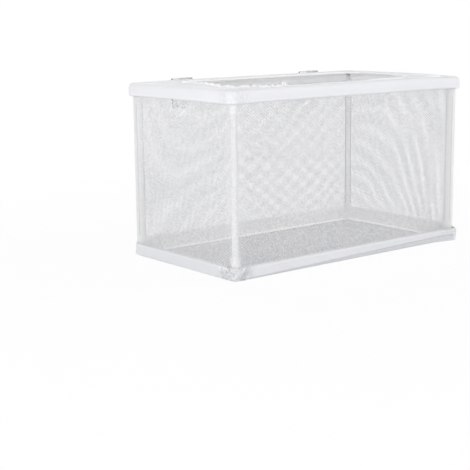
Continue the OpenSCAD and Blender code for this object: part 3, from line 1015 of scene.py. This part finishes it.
def hem_place(share, row):
    """Hem from its lower edge at the net, out, up and over, and the flange.

    It lies closer and smoother at the back, where the clips slide."""
    if row > HEM_SPLIT:
        return flange_place(share, (row - HEM_SPLIT) / (1 - HEM_SPLIT))
    up = row / HEM_SPLIT
    spot = curve_through(HEM_PROFILE, up)
    base, way = outline(share, FRAME_CORE, PATH_RADIUS)
    here = Vector((base.x, base.y, spot.y))
    loose = min(1, 6 * row) * (1 - up)
    drag = Vector((base.x + base.y, 3 * spot.y + 0.6 * (base.x - base.y), 0))
    clipped = max(0.0, min(1.0, 1 + (base.y - POST_Y) / (20 * MM)))
    uneven = 0.6 * MM * ripple(here, 30 * MM, 13) + 0.35 * MM * ripple(drag, 13 * MM, 14)
    out = spot.x + loose * (1 - 0.8 * clipped) * uneven - 0.1 * MM * clipped
    fold = near_corner(base, (-POST_X - 0.1 * MM, -POST_Y + 17 * MM), 4 * MM)
    out += loose * 0.7 * MM * fold * fold
    dip = max(near_corner(base, (x * POST_X, y * POST_Y), 24 * MM) for x, y in CORNERS)
    sag = near_corner(base, (POST_X, -POST_Y), SAG_REACH)
    height = spot.y - 0.8 * MM * dip * loose + 0.35 * MM * loose * ripple(here, 26 * MM, 15)
    height -= CORNER_SAG * sag * sag * min(1, 1.5 * up)
    flat = base + way * out
    return Vector((flat.x, flat.y, height))


hem = closed_strip("satin_hem", 560, 40)
shape_strip(hem, hem_place, 0.6 * MM, 0.05)
dress(hem, hem_satin)
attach(hem, "frame")
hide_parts("top_hem")


# Elastic edge.
# The flange's inner edge is folded over a thin elastic cord and sewn down. The cord
# gathers it into small puckers, deepest at the front left of the opening.

CORD_CENTRE = MOUTH_RADIUS - 1.2 * MM
THREAD_TURNS = 300
KNOT_X = -51 * MM


def frill_place(share, row):
    """A point on the sheath round the elastic, which swells between the pinches"""
    base, way = outline(share, MOUTH_CORE, CORD_CENTRE)
    here = Vector((base.x, base.y, 0))
    swell = pucker(share, here)
    pull = min(1.0, gathered(here) - 0.35)
    turn = 2 * math.pi * row
    thread = math.sin(2 * math.pi * THREAD_TURNS * share + 2 * turn)
    radius = 1.05 + 0.12 * swell + pull * (1.5 * swell - 0.55) + 0.05 * thread
    radius += 0.1 * ripple(here, 5 * MM, 17)
    across, up = math.cos(turn), math.sin(turn)
    flat = base + way * radius * across * MM
    lift = HEM_TOP - 0.1 * MM - droop(here) + 0.3 * MM * ripple(here, 26 * MM, 12)
    lift += 0.9 * MM * pull * (swell - 0.4)
    return Vector((flat.x, flat.y, lift + radius * up * MM))


frill = closed_strip("opening_frill", 1500, 12)
shape_strip(frill, frill_place, 0.3 * MM, 0.004)
dress(frill, seam_thread)
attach(frill, "frame")
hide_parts("opening_elastic")


def tied_knot(place):
    """A small loop with the cord's two ends, one to each side"""
    select_nothing()
    bpy.ops.mesh.primitive_torus_add(
        major_segments=24,
        minor_segments=10,
        major_radius=1.6 * MM,
        minor_radius=0.6 * MM,
        rotation=(1.3, 0.4, -0.4),
    )
    loop = bpy.context.object
    bpy.ops.object.transform_apply(location=True, rotation=True, scale=True)
    ends = []
    for lean, turn in ((2.1, -0.5), (-2.3, 0.6)):
        select_nothing()
        bpy.ops.mesh.primitive_cylinder_add(vertices=10, radius=0.55 * MM, depth=4.2 * MM)
        end = bpy.context.object
        leaning = Matrix.Rotation(turn, 4, "X") @ Matrix.Rotation(lean, 4, "Y")
        end.data.transform(leaning @ Matrix.Translation((0, 0, 2.2 * MM)))
        ends.append(end)
    select_nothing()
    for part in (*ends, loop):
        part.select_set(True)
    bpy.context.view_layer.objects.active = loop
    bpy.ops.object.join()
    loop.data.transform(Matrix.Translation(place))
    bpy.ops.object.shade_smooth_by_angle()
    return loop


knot_place = Vector((KNOT_X, -MOUTH_CORE[1] - MOUTH_RADIUS + 0.6 * MM, HEM_TOP))
knot_place.z -= droop(knot_place) - 1.7 * MM
knot = tied_knot(knot_place)
knot.name = "elastic_knot"
dress(knot, seam_thread)
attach(knot, "frame")
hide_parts("opening_elastic")


# Stitches.
# Polyester thread in even lockstitch: one row along the foot of the hem, one along
# the upper edge of the ribbon and one in the flange outside the elastic.

def stitch_row(name, pitch, place):
    """A row of sunk capsules round the box; place(share) gives the surface and the way out of it"""
    around = 4 * (POST_X + POST_Y)
    count = round(around / pitch)
    select_nothing()
    bpy.ops.mesh.primitive_uv_sphere_add(segments=8, ring_count=6, radius=0.5)
    stitch = bpy.context.object
    stitch.name = name
    stitch.data.transform(Matrix.Rotation(math.pi / 2, 4, "Y"))
    stitch.data.transform(Matrix.Diagonal((0.72 * pitch, 0.42 * MM, 0.5 * MM, 1)))
    row = stitch.modifiers.new("row", "ARRAY")
    row.count = count
    row.use_relative_offset = False
    row.use_constant_offset = True
    row.constant_offset_displace = (around / count, 0, 0)
    bpy.ops.object.modifier_apply(modifier=row.name)
    for vertex in stitch.data.vertices:
        along, out, up = vertex.co
        spot, way, rise = place((along / around) % 1)
        vertex.co = spot + way * out + rise * up
    bpy.ops.object.mode_set(mode="EDIT")
    bpy.ops.mesh.select_all(action="SELECT")
    bpy.ops.mesh.normals_make_consistent(inside=False)
    bpy.ops.object.mode_set(mode="OBJECT")
    bpy.ops.object.shade_smooth()
    dress(stitch, seam_thread)
    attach(stitch, "frame")


def on_wall_band(place, row):
    """Places stitches on the upright face of a band"""
    def stitch_place(share):
        way = outline(share, FRAME_CORE, PATH_RADIUS)[1]
        return place(share, row), Vector((way.x, way.y, 0)), Vector((0, 0, 1))
    return stitch_place


def on_flange(part):
    """Places stitches on the level flange"""
    def stitch_place(share):
        way = outline(share, FRAME_CORE, PATH_RADIUS)[1]
        return flange_place(share, part), Vector((0, 0, 1)), Vector((way.x, way.y, 0))
    return stitch_place


stitch_row("hem_stitches", 2.9 * MM, on_wall_band(hem_place, 0.36 * HEM_SPLIT))
stitch_row("ribbon_stitches", 2.7 * MM, on_wall_band(binding_place, 0.215))
stitch_row("opening_stitches", 2.9 * MM, on_flange(0.93))


# Suction cups and clips.
# Soft clear PVC cups, each held by its neck in a clear clip that grips the back
# hem. Both are moulded glossy and let the white cloth behind them show.

def clear(name, tint, rough, ior):
    """A clear plastic: the plain finish, with light let through"""
    material = finish(name, tint, tuple(0.97 * c for c in tint), 80, 400, rough, 0.04)
    surface = material.node_tree.nodes["Principled BSDF"]
    surface.inputs["Transmission Weight"].default_value = 1.0
    surface.inputs["IOR"].default_value = ior
    return material


cup_pvc = clear("cup_pvc", (0.985, 0.99, 0.995), (0.05, 0.12), 1.42)
clip_plastic = clear("clip_plastic", (0.985, 0.99, 0.995), (0.03, 0.07), 1.46)
for side in ("left", "right"):
    dress(nodes["suction_cup_" + side], cup_pvc)
    dress(nodes["clip_" + side], clip_plastic)
